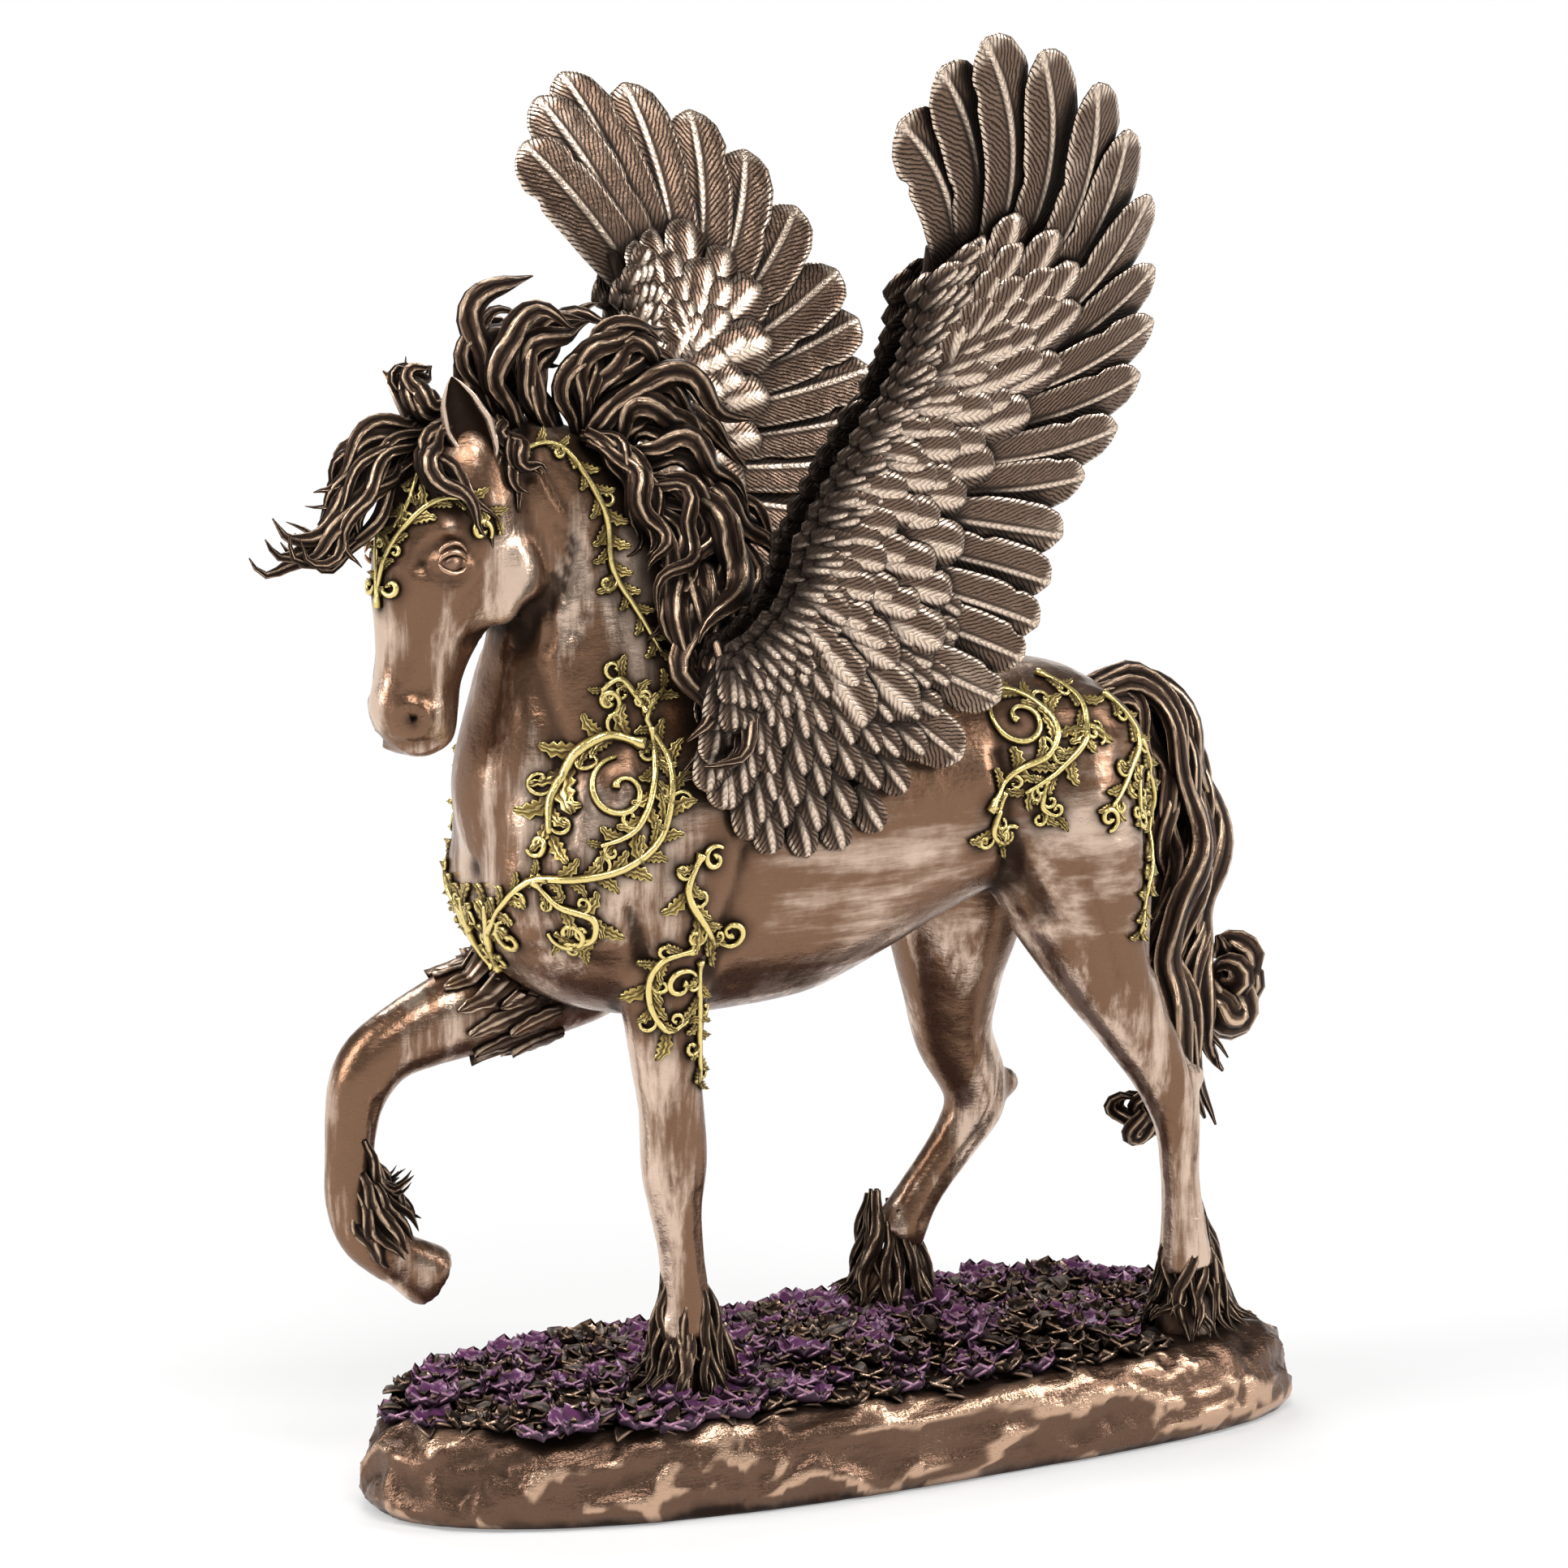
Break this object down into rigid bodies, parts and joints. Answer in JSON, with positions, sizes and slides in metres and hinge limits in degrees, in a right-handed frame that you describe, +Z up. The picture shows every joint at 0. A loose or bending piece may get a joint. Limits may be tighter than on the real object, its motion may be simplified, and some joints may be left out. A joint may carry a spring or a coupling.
{
  "type": "pegasus figurine",
  "caption": "Winged horse figurine pacing with a foreleg raised, cast in one piece with an oval flowered plinth that stands on its flat underside.",
  "frame": {"origin": "on the underside of the plinth, below the middle of the horse's body", "axes": "+Z up; the horse faces -X; its left side, the near one in the picture, is towards -Y"},
  "size_m": [0.2203, 0.139, 0.2792],
  "materials": {
    "antique_bronze": "antiqued bronze, dark in the recesses and burnished on the ridges",
    "gold_paint": "soft gold paint on the raised scrolls",
    "violet_paint": "satin violet paint on the flower petals"
  },
  "bodies": {
    "root": {"pegasus_figurine": "antique_bronze"}
  },
  "joints": []
}
